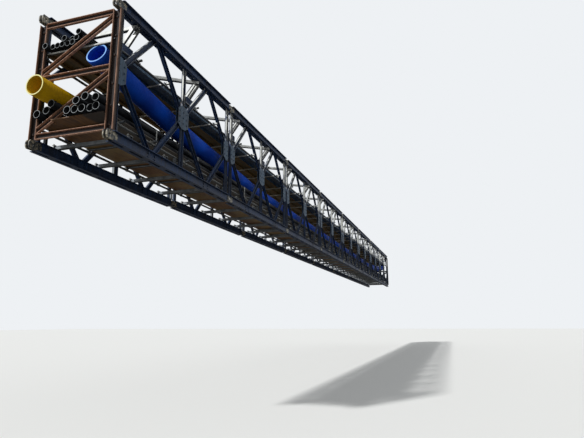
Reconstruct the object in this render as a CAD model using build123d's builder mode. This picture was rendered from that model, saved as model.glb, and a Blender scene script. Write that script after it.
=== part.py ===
from build123d import *
import math
import os

os.makedirs("parts", exist_ok=True)

# Temporary services bridge: two lattice trusses of pinned panels with a frame at each end,
# two decks between them, and the pipes and ducts that the decks carry over.
# X runs along the bridge, Y across it, Z up. The origin is under the middle, on the floor.

# Trusses
PANEL_COUNT = 8
PANEL_PITCH = 4500.0
CHORD_DEPTH = 180.0
PIN_SPACING_Z = 2380.0
TRUSS_SPACING = 1565.0
CHORD_FLANGE = 61.0
CHORD_WEB = 10.0
CHORD_FLANGE_T = 12.0
MEMBER_DEPTH = 50.0
MEMBER_WIDTH = 100.0
END_VERTICAL_X = 128.0
CHORD_END_X = 75.0
CHORD_LIP = 20.0
APEX_SPREAD = 10.0
APEX_PLATE = 320.0
GUSSET_T = 8.0
GUSSET_HALF_HEIGHT = 250.0
GUSSET_HALF_WIDTH = 200.0
GUSSET_SHOULDER = 170.0

# Pinned joints at the chord ends
PIN_RADIUS = 24.7
PIN_SIDES = 12
PIN_HOLE_CLEARANCE = 0.3
LUG_HEIGHT = 150.0
LUG_REACH = 75.0
LUG_TAIL = 200.0
JAW_T = 22.0
TONGUE_T = 40.0
LUG_CLEARANCE = 3.0
PIN_HEAD = 15.0

# End frames, in rolled channel
POST_WIDTH = 152.0
POST_DEPTH = 76.0
RAIL_HEIGHT = 102.0
RAIL_DEPTH = 51.0
FRAME_FLANGE_T = 9.0
FRAME_WEB_T = 7.0
MIDDLE_RAIL_Z = 1297.0

# Bracing between the trusses
BRACE_SIZE = 76.0
BRACE_FIRST_X = 562.5
BRACE_OVERHANG = 40.0
STRUT_WIDTH = 60.0
STRUT_T = 48.0
STRUT_FOOT = (-386.0, 1820.0)
STRUT_HEAD = (-850.0, 2380.0)

# Scaffold tube and decks
TUBE_RADIUS = 24.15
TUBE_SIDES = 8
TUBE_OVERHANG = 40.0
LOWER_LEDGER_Y = 716.0
DECK_UPRIGHT_HEIGHT = 186.0
DECK_UPRIGHT_SIZE = 50.0
LOWER_TUBE_X = (350.0, 1330.0, 2540.0, 3780.0)
UPPER_TUBE_X = (720.0, 1650.0, 2850.0, 3780.0)
UPPER_TUBE_Z = 1770.0
END_TUBE_X = 17895.0
END_TUBE_Z = 1824.0
END_TUBE_LENGTH = 1490.0
PLY_T = 18.0
SHEET_LENGTH = 2400.0
SHEET_GAP = 4.0
LOWER_DECK_Y = (-752.0, 752.0)
UPPER_DECK_Y = (-260.0, 752.0)
UPPER_DECK_END = 17868.0
JOIST_WIDTH = 75.0
JOIST_DEPTH = 38.0
EDGE_BEAM_Y = (-560.0, -262.0)
EDGE_BEAM_T = 5.0

# Ducts and pipes
LOWER_DUCT_RADIUS = 70.0
LOWER_DUCT_WALL = 8.0
LOWER_DUCT_STEP = 143.0
UPPER_DUCT_RADIUS = 54.0
UPPER_DUCT_WALL = 6.5
UPPER_DUCT_STEP = 110.0
DECK_END_CLEARANCE = 4.0
DECK_NOSE_Y = (-700.0, 355.0)
DECK_NOSE_REACH = 50.0
BLUE_RADIUS = 200.0
BLUE_WALL = 24.0
BLUE_Y = -385.0
BLUE_MOUTH = (17950.0, 1600.0)
BLUE_KNEE = (15200.0, 1240.0)
BLUE_LEVEL_X = 10700.0
YELLOW_RADIUS = 180.0
YELLOW_WALL = 20.0
YELLOW_Y = 414.0
YELLOW_REACH = 400.0
PACKER_LENGTH = 200.0
PACKER_WIDTH = 100.0

# Worked out from the sizes above
BRIDGE_LENGTH = PANEL_COUNT * PANEL_PITCH
BRIDGE_START = -BRIDGE_LENGTH / 2
TOP_Z = PIN_SPACING_Z + CHORD_DEPTH
MID_Z = TOP_Z / 2
LOWER_CHORD_Z = CHORD_DEPTH / 2
UPPER_CHORD_Z = TOP_Z - CHORD_DEPTH / 2
CHORD_TOP = CHORD_DEPTH
CHORD_UNDERSIDE = TOP_Z - CHORD_DEPTH
APEX_X = (END_VERTICAL_X + PANEL_PITCH / 2) / 2
TRUSS_Y = TRUSS_SPACING / 2
FRAME_BACK_X = END_VERTICAL_X - MEMBER_WIDTH / 2
UPPER_LEDGER_Y = TRUSS_Y - MEMBER_DEPTH / 2 - TUBE_RADIUS
LOWER_LEDGER_Z = CHORD_TOP + DECK_UPRIGHT_HEIGHT + TUBE_RADIUS
LOWER_TUBE_Z = LOWER_LEDGER_Z + 2 * TUBE_RADIUS
LOWER_DECK_Z = LOWER_TUBE_Z + TUBE_RADIUS
LOWER_DECK_TOP = LOWER_DECK_Z + PLY_T
JOIST_Z = UPPER_TUBE_Z + TUBE_RADIUS
UPPER_DECK_Z = JOIST_Z + JOIST_DEPTH
UPPER_DECK_TOP = UPPER_DECK_Z + PLY_T


def save(node_name, solids):
    """Label one node and write its STEP file."""
    shape = Compound(children=solids) if isinstance(solids, list) else solids
    shape.label = node_name
    export_step(shape, f"parts/{node_name}.step")


def bar_between(start, end, width):
    """A straight bar in the current sketch, from one point to another."""
    run, rise = end[0] - start[0], end[1] - start[1]
    with Locations(((start[0] + end[0]) / 2, (start[1] + end[1]) / 2)):
        Rectangle(math.hypot(run, rise), width, rotation=math.degrees(math.atan2(rise, run)))


def gusset_outline(centre_x, left, right):
    """The six-sided plate over a node at mid height, cut off square at a panel's end."""
    corners = [
        (centre_x - left * 0.35, MID_Z - GUSSET_HALF_HEIGHT),
        (centre_x + right * 0.35, MID_Z - GUSSET_HALF_HEIGHT),
        (centre_x + right, MID_Z - GUSSET_SHOULDER),
        (centre_x + right, MID_Z + GUSSET_SHOULDER),
        (centre_x + right * 0.35, MID_Z + GUSSET_HALF_HEIGHT),
        (centre_x - left * 0.35, MID_Z + GUSSET_HALF_HEIGHT),
        (centre_x - left, MID_Z + GUSSET_SHOULDER),
        (centre_x - left, MID_Z - GUSSET_SHOULDER),
    ]
    Polygon(*corners, align=None)


# One truss panel, from the pin hole at its start to the pin hole at its end
VERTICALS_X = (END_VERTICAL_X, PANEL_PITCH / 2, PANEL_PITCH - END_VERTICAL_X)
APEXES_X = (APEX_X, PANEL_PITCH - APEX_X)
with BuildPart() as panel:
    with BuildSketch(Plane.XZ):
        for vertical_x in VERTICALS_X:
            with Locations((vertical_x, MID_Z)):
                Rectangle(MEMBER_WIDTH, TOP_Z - 2 * CHORD_LIP)
        for apex_x in APEXES_X:
            for chord_z in (LOWER_CHORD_Z, UPPER_CHORD_Z):
                with Locations((apex_x, chord_z)):
                    Rectangle(APEX_PLATE, CHORD_DEPTH - 2 * CHORD_LIP)
                for side in (-1, 1):
                    node_x = min(VERTICALS_X, key=lambda x: abs(x - apex_x - side * APEX_X))
                    bar_between((node_x, MID_Z), (apex_x + side * APEX_SPREAD, chord_z), MEMBER_WIDTH)
    extrude(amount=MEMBER_DEPTH / 2, both=True)
    for face_y in (-MEMBER_DEPTH / 2, MEMBER_DEPTH / 2 + GUSSET_T):
        with BuildSketch(Plane.XZ.offset(-face_y)):
            gusset_outline(PANEL_PITCH / 2, GUSSET_HALF_WIDTH, GUSSET_HALF_WIDTH)
            gusset_outline(END_VERTICAL_X, MEMBER_WIDTH / 2, GUSSET_HALF_WIDTH)
            gusset_outline(PANEL_PITCH - END_VERTICAL_X, GUSSET_HALF_WIDTH, MEMBER_WIDTH / 2)
        extrude(amount=GUSSET_T)
    with BuildSketch(Plane.YZ.offset(CHORD_END_X)):
        for chord_z in (LOWER_CHORD_Z, UPPER_CHORD_Z):
            for side in (-1, 1):
                with Locations((side * (MEMBER_DEPTH + CHORD_FLANGE) / 2, chord_z)):
                    Rectangle(CHORD_FLANGE, CHORD_DEPTH)
                with Locations((side * (MEMBER_DEPTH + CHORD_FLANGE + CHORD_WEB) / 2, chord_z)):
                    Rectangle(CHORD_FLANGE - CHORD_WEB, CHORD_DEPTH - 2 * CHORD_FLANGE_T, mode=Mode.SUBTRACT)
    extrude(amount=PANEL_PITCH - 2 * CHORD_END_X)
    # Jaws of two plates at the start, a tongue at the end
    for jaw_y in (TONGUE_T / 2 + LUG_CLEARANCE + JAW_T, -TONGUE_T / 2 - LUG_CLEARANCE):
        with BuildSketch(Plane.XZ.offset(-jaw_y)):
            for chord_z in (LOWER_CHORD_Z, UPPER_CHORD_Z):
                with Locations(((LUG_TAIL - LUG_REACH) / 2, chord_z)):
                    Rectangle(LUG_TAIL + LUG_REACH, LUG_HEIGHT)
        extrude(amount=JAW_T)
    with BuildSketch(Plane.XZ):
        for chord_z in (LOWER_CHORD_Z, UPPER_CHORD_Z):
            with Locations((PANEL_PITCH + (LUG_REACH - LUG_TAIL) / 2, chord_z)):
                Rectangle(LUG_TAIL + LUG_REACH, LUG_HEIGHT)
    extrude(amount=TONGUE_T / 2, both=True)
    with BuildSketch(Plane.XZ.offset(-TRUSS_Y)):
        for pin_x in (0, PANEL_PITCH):
            for chord_z in (LOWER_CHORD_Z, UPPER_CHORD_Z):
                with Locations((pin_x, chord_z)):
                    RegularPolygon(PIN_RADIUS + PIN_HOLE_CLEARANCE, PIN_SIDES, major_radius=False)
    extrude(amount=TRUSS_SPACING, mode=Mode.SUBTRACT)

for truss_name, truss_y in (("right", -TRUSS_Y), ("left", TRUSS_Y)):
    for index in range(PANEL_COUNT):
        place = Location((BRIDGE_START + index * PANEL_PITCH, truss_y, 0))
        save(f"{truss_name}_truss_panel_{index + 1}", panel.part.moved(place))

# Panel pins, one through each closed joint
pin_length = 2 * (TONGUE_T / 2 + LUG_CLEARANCE + JAW_T + PIN_HEAD)
with BuildPart() as panel_pins:
    for truss_y in (-TRUSS_Y, TRUSS_Y):
        with BuildSketch(Plane.XZ.offset(-truss_y)):
            for joint in range(1, PANEL_COUNT):
                for chord_z in (LOWER_CHORD_Z, UPPER_CHORD_Z):
                    with Locations((BRIDGE_START + joint * PANEL_PITCH, chord_z)):
                        RegularPolygon(PIN_RADIUS, PIN_SIDES, rotation=180 / PIN_SIDES)
        extrude(amount=pin_length / 2, both=True)
save("panel_pins", panel_pins.part)

# End frames: channel posts, three rails and two parallel braces, hollow side outwards
post_inner_y = (TRUSS_SPACING - POST_WIDTH) / 2
rail_levels = (CHORD_TOP + RAIL_HEIGHT / 2, MIDDLE_RAIL_Z, CHORD_UNDERSIDE - RAIL_HEIGHT / 2)
brace_ends = [
    ((post_inner_y, rail_levels[i] + RAIL_HEIGHT), (-post_inner_y, rail_levels[i + 1] - RAIL_HEIGHT))
    for i in range(2)
]
frame_front_x = BRIDGE_START + FRAME_BACK_X - POST_DEPTH
frame_back_x = BRIDGE_START + FRAME_BACK_X
with BuildPart() as end_frame:
    with BuildSketch(Plane.YZ.offset(frame_front_x)):
        for side in (-1, 1):
            with Locations((side * TRUSS_SPACING / 2, MID_Z)):
                Rectangle(POST_WIDTH, CHORD_UNDERSIDE - CHORD_TOP)
    extrude(amount=POST_DEPTH)
    with BuildSketch(Plane.YZ.offset(frame_front_x)):
        for rail_z in rail_levels:
            with Locations((0, rail_z)):
                Rectangle(2 * post_inner_y + 2, RAIL_HEIGHT)
        for start, end in brace_ends:
            bar_between(start, end, RAIL_HEIGHT)
    extrude(amount=RAIL_DEPTH)
    with BuildSketch(Plane.YZ.offset(frame_front_x)):
        for side in (-1, 1):
            with Locations((side * TRUSS_SPACING / 2, MID_Z)):
                Rectangle(POST_WIDTH - 2 * FRAME_FLANGE_T, CHORD_UNDERSIDE - CHORD_TOP)
    extrude(amount=POST_DEPTH - FRAME_WEB_T, mode=Mode.SUBTRACT)
    with BuildSketch(Plane.YZ.offset(frame_front_x)):
        for rail_z in rail_levels:
            with Locations((0, rail_z)):
                Rectangle(2 * post_inner_y, RAIL_HEIGHT - 2 * FRAME_FLANGE_T)
        for start, end in brace_ends:
            bar_between(start, end, RAIL_HEIGHT - 2 * FRAME_FLANGE_T)
        # the hollow stops at the posts' flanges
        with Locations((0, MID_Z)):
            Rectangle(2 * post_inner_y, TOP_Z, mode=Mode.INTERSECT)
    extrude(amount=RAIL_DEPTH - FRAME_WEB_T, mode=Mode.SUBTRACT)
save("near_end_frame", end_frame.part)
save("far_end_frame", end_frame.part.mirror(Plane.YZ))

# Cross bracing: struts on the bottom chords, beams under the top chords
brace_length = TRUSS_SPACING + 2 * BRACE_OVERHANG
bottom_strut_x = [
    BRIDGE_START + BRACE_FIRST_X + step * PANEL_PITCH / 4 for step in range(4 * PANEL_COUNT)
]
top_beam_x = bottom_strut_x[::2]
with BuildPart() as bottom_struts:
    for strut_x in bottom_strut_x:
        with Locations((strut_x, 0, CHORD_TOP + BRACE_SIZE / 2)):
            Box(BRACE_SIZE, brace_length, BRACE_SIZE)
save("bottom_cross_struts", bottom_struts.part)
with BuildPart() as top_beams:
    for beam_x in top_beam_x:
        with Locations((beam_x, 0, CHORD_UNDERSIDE - BRACE_SIZE / 2)):
            Box(BRACE_SIZE, brace_length, BRACE_SIZE)
save("top_cross_beams", top_beams.part)


# Lower deck: uprights on the chords, ledgers on them, cross tubes, plywood
upright_x = [BRIDGE_START + step * PANEL_PITCH / 2 - END_VERTICAL_X for step in range(1, 2 * PANEL_COUNT)]
upright_x += [-BRIDGE_LENGTH / 2 + 2 * END_VERTICAL_X, BRIDGE_LENGTH / 2 - 2 * END_VERTICAL_X]
upright_y = TRUSS_Y - (MEMBER_DEPTH + CHORD_FLANGE) / 2
with BuildPart() as deck_uprights:
    for side in (-1, 1):
        for x in upright_x:
            with Locations((x, side * upright_y, CHORD_TOP + DECK_UPRIGHT_HEIGHT / 2)):
                Box(DECK_UPRIGHT_SIZE, DECK_UPRIGHT_SIZE, DECK_UPRIGHT_HEIGHT)
save("deck_uprights", deck_uprights.part)

ledger_length = BRIDGE_LENGTH - 2 * FRAME_BACK_X - 2 * DECK_END_CLEARANCE


def ledger_tubes(y, level):
    """A pair of tubes along the bridge, one beside each truss."""
    with BuildPart() as tubes:
        with BuildSketch(Plane.YZ):
            with Locations((-y, level), (y, level)):
                RegularPolygon(TUBE_RADIUS, TUBE_SIDES, major_radius=False, rotation=180 / TUBE_SIDES)
        extrude(amount=ledger_length / 2, both=True)
    return tubes.part


save("lower_ledger_tubes", ledger_tubes(LOWER_LEDGER_Y, LOWER_LEDGER_Z))
save("upper_ledger_tubes", ledger_tubes(UPPER_LEDGER_Y, UPPER_TUBE_Z - 2 * TUBE_RADIUS))

tube_length = TRUSS_SPACING + 2 * TUBE_OVERHANG


def cross_tubes(places_x, level, length):
    """Tubes of one length across the bridge, at one level."""
    with BuildPart() as tubes:
        with BuildSketch(Plane.XZ):
            with Locations(*[(x, level) for x in places_x]):
                RegularPolygon(TUBE_RADIUS, TUBE_SIDES, major_radius=False, rotation=180 / TUBE_SIDES)
        extrude(amount=length / 2, both=True)
    return tubes.part


def in_every_panel(offsets):
    """The same places in every panel, measured from its start."""
    return [BRIDGE_START + index * PANEL_PITCH + offset for index in range(PANEL_COUNT) for offset in offsets]


save("lower_cross_tubes", cross_tubes(in_every_panel(LOWER_TUBE_X), LOWER_TUBE_Z, tube_length))

# The upper deck ends at a higher tube, which stands on a block on each ledger
ledger_top = UPPER_TUBE_Z - TUBE_RADIUS
block_height = END_TUBE_Z - TUBE_RADIUS - ledger_top
with BuildPart() as upper_tubes:
    add(cross_tubes(in_every_panel(UPPER_TUBE_X), UPPER_TUBE_Z, tube_length))
    add(cross_tubes((-END_TUBE_X, END_TUBE_X), END_TUBE_Z, END_TUBE_LENGTH))
    for end in (-1, 1):
        for side in (-1, 1):
            with Locations((end * END_TUBE_X, side * UPPER_LEDGER_Y, ledger_top + block_height / 2)):
                Box(TUBE_RADIUS, TUBE_RADIUS, block_height)
save("upper_cross_tubes", upper_tubes.part)

lower_deck_end = BRIDGE_LENGTH / 2 - FRAME_BACK_X - DECK_END_CLEARANCE


def deck_sheets(edges, level, deck_end):
    """Plywood sheets laid end to end, the last at each end cut shorter."""
    sheet_count = math.ceil(2 * deck_end / SHEET_LENGTH)
    with BuildPart() as sheets:
        with Locations((0, sum(edges) / 2, level + PLY_T / 2)):
            Box(2 * deck_end, edges[1] - edges[0], PLY_T)
        for seam in range(1, sheet_count):
            with Locations(((seam - sheet_count / 2) * SHEET_LENGTH, sum(edges) / 2, level + PLY_T / 2)):
                Box(SHEET_GAP, edges[1] - edges[0], PLY_T, mode=Mode.SUBTRACT)
    return sheets


lower_sheets = deck_sheets(LOWER_DECK_Y, LOWER_DECK_Z, lower_deck_end)
with lower_sheets:
    # the nose that runs out between the posts, under the brace
    nose_end = BRIDGE_LENGTH / 2 + DECK_NOSE_REACH
    with Locations((0, sum(DECK_NOSE_Y) / 2, LOWER_DECK_Z + PLY_T / 2)):
        for side in (-1, 1):
            with Locations((side * (lower_deck_end + nose_end) / 2, 0, 0)):
                Box(nose_end - lower_deck_end, DECK_NOSE_Y[1] - DECK_NOSE_Y[0], PLY_T)
save("lower_deck_sheets", lower_sheets.part)
save("upper_deck_sheets", deck_sheets(UPPER_DECK_Y, UPPER_DECK_Z, UPPER_DECK_END).part)

joist_y = [UPPER_DECK_Y[0] + JOIST_WIDTH / 2 + step * (UPPER_DECK_Y[1] - UPPER_DECK_Y[0] - JOIST_WIDTH) / 3
           for step in range(4)]
with BuildPart() as upper_joists:
    for y in joist_y:
        with Locations((0, y, JOIST_Z + JOIST_DEPTH / 2)):
            Box(2 * UPPER_DECK_END, JOIST_WIDTH, JOIST_DEPTH)
save("upper_deck_joists", upper_joists.part)

# A wide steel channel, hollow side down, closes the upper deck's near side
beam_width = EDGE_BEAM_Y[1] - EDGE_BEAM_Y[0]
beam_depth = UPPER_DECK_TOP - JOIST_Z
with BuildPart() as edge_beam:
    with BuildSketch(Plane.YZ):
        with Locations((sum(EDGE_BEAM_Y) / 2, JOIST_Z + beam_depth / 2)):
            Rectangle(beam_width, beam_depth)
        with Locations((sum(EDGE_BEAM_Y) / 2, JOIST_Z + (beam_depth - EDGE_BEAM_T) / 2)):
            Rectangle(beam_width - 2 * EDGE_BEAM_T, beam_depth - EDGE_BEAM_T, mode=Mode.SUBTRACT)
    extrude(amount=UPPER_DECK_END, both=True)
save("upper_edge_beam", edge_beam.part)

# Raking struts in pairs, from the upper deck's near side to the top cross beams
with BuildPart() as raking_struts:
    for beam_x in top_beam_x:
        for side_x in (-BRACE_SIZE / 2 - STRUT_T, BRACE_SIZE / 2):
            with BuildSketch(Plane.YZ.offset(beam_x + side_x)):
                bar_between(STRUT_FOOT, STRUT_HEAD, STRUT_WIDTH)
                with Locations((0, (UPPER_DECK_TOP + CHORD_UNDERSIDE) / 2)):
                    Rectangle(TRUSS_SPACING, CHORD_UNDERSIDE - UPPER_DECK_TOP, mode=Mode.INTERSECT)
            extrude(amount=STRUT_T)
save("raking_struts", raking_struts.part)


# Ducts, in rows on the decks
def duct(y, z, radius, wall, reach):
    """One straight duct, open at both ends, which reaches that far past the trusses' end pins."""
    with BuildPart() as tube:
        with BuildSketch(Plane.YZ):
            with Locations((y, z)):
                Circle(radius)
                Circle(radius - wall, mode=Mode.SUBTRACT)
        extrude(amount=BRIDGE_LENGTH / 2 + reach, both=True)
    return tube.part


def groove_rise(radius, step):
    """How far a duct lies above the two that it rests on, side by side at that step."""
    return math.sqrt((2 * radius) ** 2 - (step / 2) ** 2)


lower_row_z = LOWER_DECK_TOP + LOWER_DUCT_RADIUS
right_row_y = [-628.0 + i * LOWER_DUCT_STEP for i in range(5)]
second_z = lower_row_z + 2 * LOWER_DUCT_RADIUS
groove_y = (right_row_y[2] + right_row_y[3]) / 2
groove_z = lower_row_z + groove_rise(LOWER_DUCT_RADIUS, LOWER_DUCT_STEP)
lower_ducts = {
    "lower_ducts_bottom_row": [
        (right_row_y[i], lower_row_z, reach) for i, reach in enumerate((143, 107, 140, 135, 147))
    ],
    "lower_ducts_second_row": [
        (right_row_y[0], second_z, 170), (right_row_y[1], second_z, 243), (groove_y, groove_z, 195)
    ],
    "lower_ducts_left": [(628.0, 594.0, 90), (501.0, 676.5, 22), (307.0, 728.0, 125)],
}
for node_name, places in lower_ducts.items():
    save(node_name, [duct(y, z, LOWER_DUCT_RADIUS, LOWER_DUCT_WALL, reach) for y, z, reach in places])

# Timber packers that lift the left ducts over the end frames' lower braces
with BuildPart() as duct_packers:
    for index in range(PANEL_COUNT):
        for y, z, reach in lower_ducts["lower_ducts_left"]:
            height = z - LOWER_DUCT_RADIUS - LOWER_DECK_TOP
            with Locations((BRIDGE_START + (index + 0.5) * PANEL_PITCH, y, LOWER_DECK_TOP + height / 2)):
                Box(PACKER_LENGTH, PACKER_WIDTH, height)
save("duct_packers", duct_packers.part)

upper_row_z = UPPER_DECK_TOP + UPPER_DUCT_RADIUS
upper_rise = groove_rise(UPPER_DUCT_RADIUS, UPPER_DUCT_STEP)
upper_row_reach = (49, -16, -5, 6, -5, 8, -90, -100)
upper_row_y = [650.0 - i * UPPER_DUCT_STEP for i in range(len(upper_row_reach))]
upper_ducts = [(y, upper_row_z, reach) for y, reach in zip(upper_row_y, upper_row_reach)]
for i, reach in ((3, 26), (4, -43), (5, -20), (6, -90)):
    upper_ducts.append((upper_row_y[i] - UPPER_DUCT_STEP / 2, upper_row_z + upper_rise, reach))
upper_ducts.append((upper_row_y[6], upper_row_z + 2 * upper_rise, 5))
save("upper_ducts", [duct(y, z, UPPER_DUCT_RADIUS, UPPER_DUCT_WALL, reach) for y, z, reach in upper_ducts])


# Large pipes
def seat_height(y, radius, carriers):
    """The height at which a pipe comes to rest on the lower ducts under it."""
    seats = [z + math.sqrt((LOWER_DUCT_RADIUS + radius) ** 2 - (y - duct_y) ** 2) for duct_y, z, _ in carriers
             if abs(y - duct_y) < radius]
    return max(seats)


blue_level_z = seat_height(BLUE_Y, BLUE_RADIUS, lower_ducts["lower_ducts_second_row"])
yellow_z = seat_height(YELLOW_Y, YELLOW_RADIUS, lower_ducts["lower_ducts_left"])
save("yellow_pipe", duct(YELLOW_Y, yellow_z, YELLOW_RADIUS, YELLOW_WALL, YELLOW_REACH))


def blue_length(outer, inner, mitre=None):
    """A straight length of the blue pipe at its near half, cut square at its inner end.

    Its outer end is square too, or else follows the square end of the length before it.
    """
    run = Vector(outer[0] - inner[0], 0, inner[1] - outer[1])
    overlap = BLUE_RADIUS if mitre else 0
    start = Vector(-outer[0], BLUE_Y, outer[1])
    with BuildPart() as length:
        with BuildSketch(Plane(origin=start - run.normalized() * overlap, z_dir=run)):
            Circle(BLUE_RADIUS)
            Circle(BLUE_RADIUS - BLUE_WALL, mode=Mode.SUBTRACT)
        extrude(amount=run.length + overlap)
        if mitre:
            split(bisect_by=Plane(origin=start, z_dir=mitre), keep=Keep.TOP)
    return length, run


blue_level = (BLUE_LEVEL_X, blue_level_z)
mouth_length, mouth_run = blue_length(BLUE_MOUTH, BLUE_KNEE)
falling_length, falling_run = blue_length(BLUE_KNEE, blue_level, mouth_run)
for name, length in (("end", mouth_length), ("fall", falling_length)):
    save(f"blue_pipe_near_{name}", length.part)
    save(f"blue_pipe_far_{name}", length.part.mirror(Plane.YZ))
with BuildPart() as blue_middle:
    with BuildSketch(Plane.YZ):
        with Locations((BLUE_Y, blue_level_z)):
            Circle(BLUE_RADIUS)
            Circle(BLUE_RADIUS - BLUE_WALL, mode=Mode.SUBTRACT)
    extrude(amount=BLUE_LEVEL_X + BLUE_RADIUS, both=True)
    for end in (-1, 1):
        cut = Plane(origin=(end * BLUE_LEVEL_X, BLUE_Y, blue_level_z), z_dir=(-end * falling_run.X, 0, falling_run.Z))
        split(bisect_by=cut, keep=Keep.TOP)
save("blue_pipe_middle", blue_middle.part)
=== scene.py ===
import bpy
import numpy as np
from mathutils import Matrix, Vector


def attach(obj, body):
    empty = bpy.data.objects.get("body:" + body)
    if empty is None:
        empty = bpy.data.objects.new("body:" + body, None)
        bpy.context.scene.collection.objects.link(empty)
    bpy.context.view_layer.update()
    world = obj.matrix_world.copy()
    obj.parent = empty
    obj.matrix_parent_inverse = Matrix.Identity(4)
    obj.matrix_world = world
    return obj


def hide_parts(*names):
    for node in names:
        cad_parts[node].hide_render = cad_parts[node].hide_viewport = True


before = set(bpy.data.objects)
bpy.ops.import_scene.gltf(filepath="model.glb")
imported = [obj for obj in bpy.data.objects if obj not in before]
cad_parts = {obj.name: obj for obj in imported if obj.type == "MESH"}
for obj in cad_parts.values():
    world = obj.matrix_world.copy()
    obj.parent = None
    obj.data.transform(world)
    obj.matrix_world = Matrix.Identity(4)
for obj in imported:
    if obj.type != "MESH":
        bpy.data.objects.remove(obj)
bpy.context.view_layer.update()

# Camera: the viewer stands below the near end and looks up along the bridge. The place and the
# lens were fitted to the joints of both trusses in the photograph.
IMAGE_SIZE = (584, 438)
FOCAL_PIXELS = 493.5
VIEWPOINT = Vector((-24.237, -5.902, -2.899))
LOOK = Vector((0.93184, 0.29906, 0.20551)).normalized()
DOWN = Vector((0.19424, 0.06728, -0.97864))

right = DOWN.cross(LOOK).normalized()
down = LOOK.cross(right)
camera_data = bpy.data.cameras.new("camera")
camera_data.sensor_width = 36.0
camera_data.lens = camera_data.sensor_width * FOCAL_PIXELS / IMAGE_SIZE[0]
camera_data.clip_end = 400.0
camera = bpy.data.objects.new("camera", camera_data)
turned = Matrix((right, -down, -LOOK)).transposed().to_4x4()
camera.matrix_world = Matrix.Translation(VIEWPOINT) @ turned
bpy.context.collection.objects.link(camera)
bpy.context.scene.camera = camera
bpy.context.scene.view_settings.view_transform = "Standard"


# Studio: a pale floor below the viewer's feet, because the bridge hangs above them, a pale sky
# and one lamp where the sun stood: high, behind the left truss. The floor throws back less light
# than it shows, so that the undersides stay dark.
def linear(code):
    """An sRGB hex colour as linear red, green, blue and alpha."""
    c = np.array([int(code[i:i + 2], 16) for i in (1, 3, 5)]) / 255.0
    c = np.where(c <= 0.04045, c / 12.92, ((c + 0.055) / 1.055) ** 2.4)
    return (*c.tolist(), 1.0)


def add(tree, kind, inputs=None, stops=(), **settings):
    """Adds one node: settings are its own, inputs are values or (node, output) links by socket, and
    stops are the places and hex colours of a ramp's two ends. By number, 6 and 7 are a mix's two
    colours, and 1 to 4 are the ends of a map range's two ranges."""
    made = tree.nodes.new(kind)
    for key, value in settings.items():
        setattr(made, key, value)
    for key, value in (inputs or {}).items():
        if isinstance(value, tuple) and isinstance(value[0], bpy.types.Node):
            tree.links.new(value[0].outputs[value[1]], made.inputs[key])
        else:
            made.inputs[key].default_value = value
    for i, (position, colour) in enumerate(stops):
        made.color_ramp.elements[i].position = position
        made.color_ramp.elements[i].color = linear(colour)
    return made


def new_material(name):
    """A material with an empty node tree, and that tree."""
    made = bpy.data.materials.new(name)
    made.use_nodes = True
    made.node_tree.nodes.clear()
    return made, made.node_tree


FLOOR_Z = -4.7
FLOOR_HALF = 120.0
FLOOR_COLOUR = "#e9e9e6"
BOUNCE_COLOUR = "#807d77"
SKY_COLOUR = "#eef1f4"
SKY_LIGHT = 0.46
SUN_LIGHT = 2.9
SUN_WIDTH = 0.06
SUN_FROM = Vector((-0.66, 0.40, 0.64))

# A matt screed: pale and plain to the eye, darker to the light that it throws back
floor_material, tree = new_material("studio_floor")
rays = add(tree, "ShaderNodeLightPath")
shown = add(tree, "ShaderNodeMix", {"Factor": (rays, "Is Camera Ray"), 6: linear(BOUNCE_COLOUR),
                                    7: linear(FLOOR_COLOUR)}, data_type="RGBA")
bsdf = add(tree, "ShaderNodeBsdfPrincipled", {"Base Color": (shown, 2), "Roughness": 0.9})
add(tree, "ShaderNodeOutputMaterial", {"Surface": (bsdf, "BSDF")})
floor_mesh = bpy.data.meshes.new("studio_floor")
floor_corners = np.array([(-1, -1), (1, -1), (1, 1), (-1, 1)]) * FLOOR_HALF
floor_mesh.from_pydata([(x, y, FLOOR_Z) for x, y in floor_corners.tolist()], [], [(0, 1, 2, 3)])
floor_mesh.materials.append(floor_material)
floor = bpy.data.objects.new("studio_floor", floor_mesh)
bpy.context.collection.objects.link(floor)

world = bpy.data.worlds.new("studio_sky")
bpy.context.scene.world = world
world.use_nodes = True
tree = world.node_tree
tree.nodes.clear()
rays = add(tree, "ShaderNodeLightPath")
seen = add(tree, "ShaderNodeMath", {0: (rays, "Is Camera Ray"), 1: (rays, "Is Glossy Ray")},
           operation="MAXIMUM")
seen = add(tree, "ShaderNodeMath", {0: (seen, 0), 1: (rays, "Is Transmission Ray")}, operation="MAXIMUM")
dim_sky = add(tree, "ShaderNodeBackground", {"Color": linear(SKY_COLOUR), "Strength": SKY_LIGHT})
seen_sky = add(tree, "ShaderNodeBackground", {"Color": linear(SKY_COLOUR), "Strength": 1.0})
mixed = add(tree, "ShaderNodeMixShader", {0: (seen, 0), 1: (dim_sky, 0), 2: (seen_sky, 0)})
add(tree, "ShaderNodeOutputWorld", {"Surface": (mixed, 0)})

sun_data = bpy.data.lights.new("sun", "SUN")
sun_data.energy = SUN_LIGHT
sun_data.angle = SUN_WIDTH
sun = bpy.data.objects.new("sun", sun_data)
sun.rotation_mode = "QUATERNION"
sun.rotation_quaternion = SUN_FROM.to_track_quat("Z", "Y")
bpy.context.collection.objects.link(sun)


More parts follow.
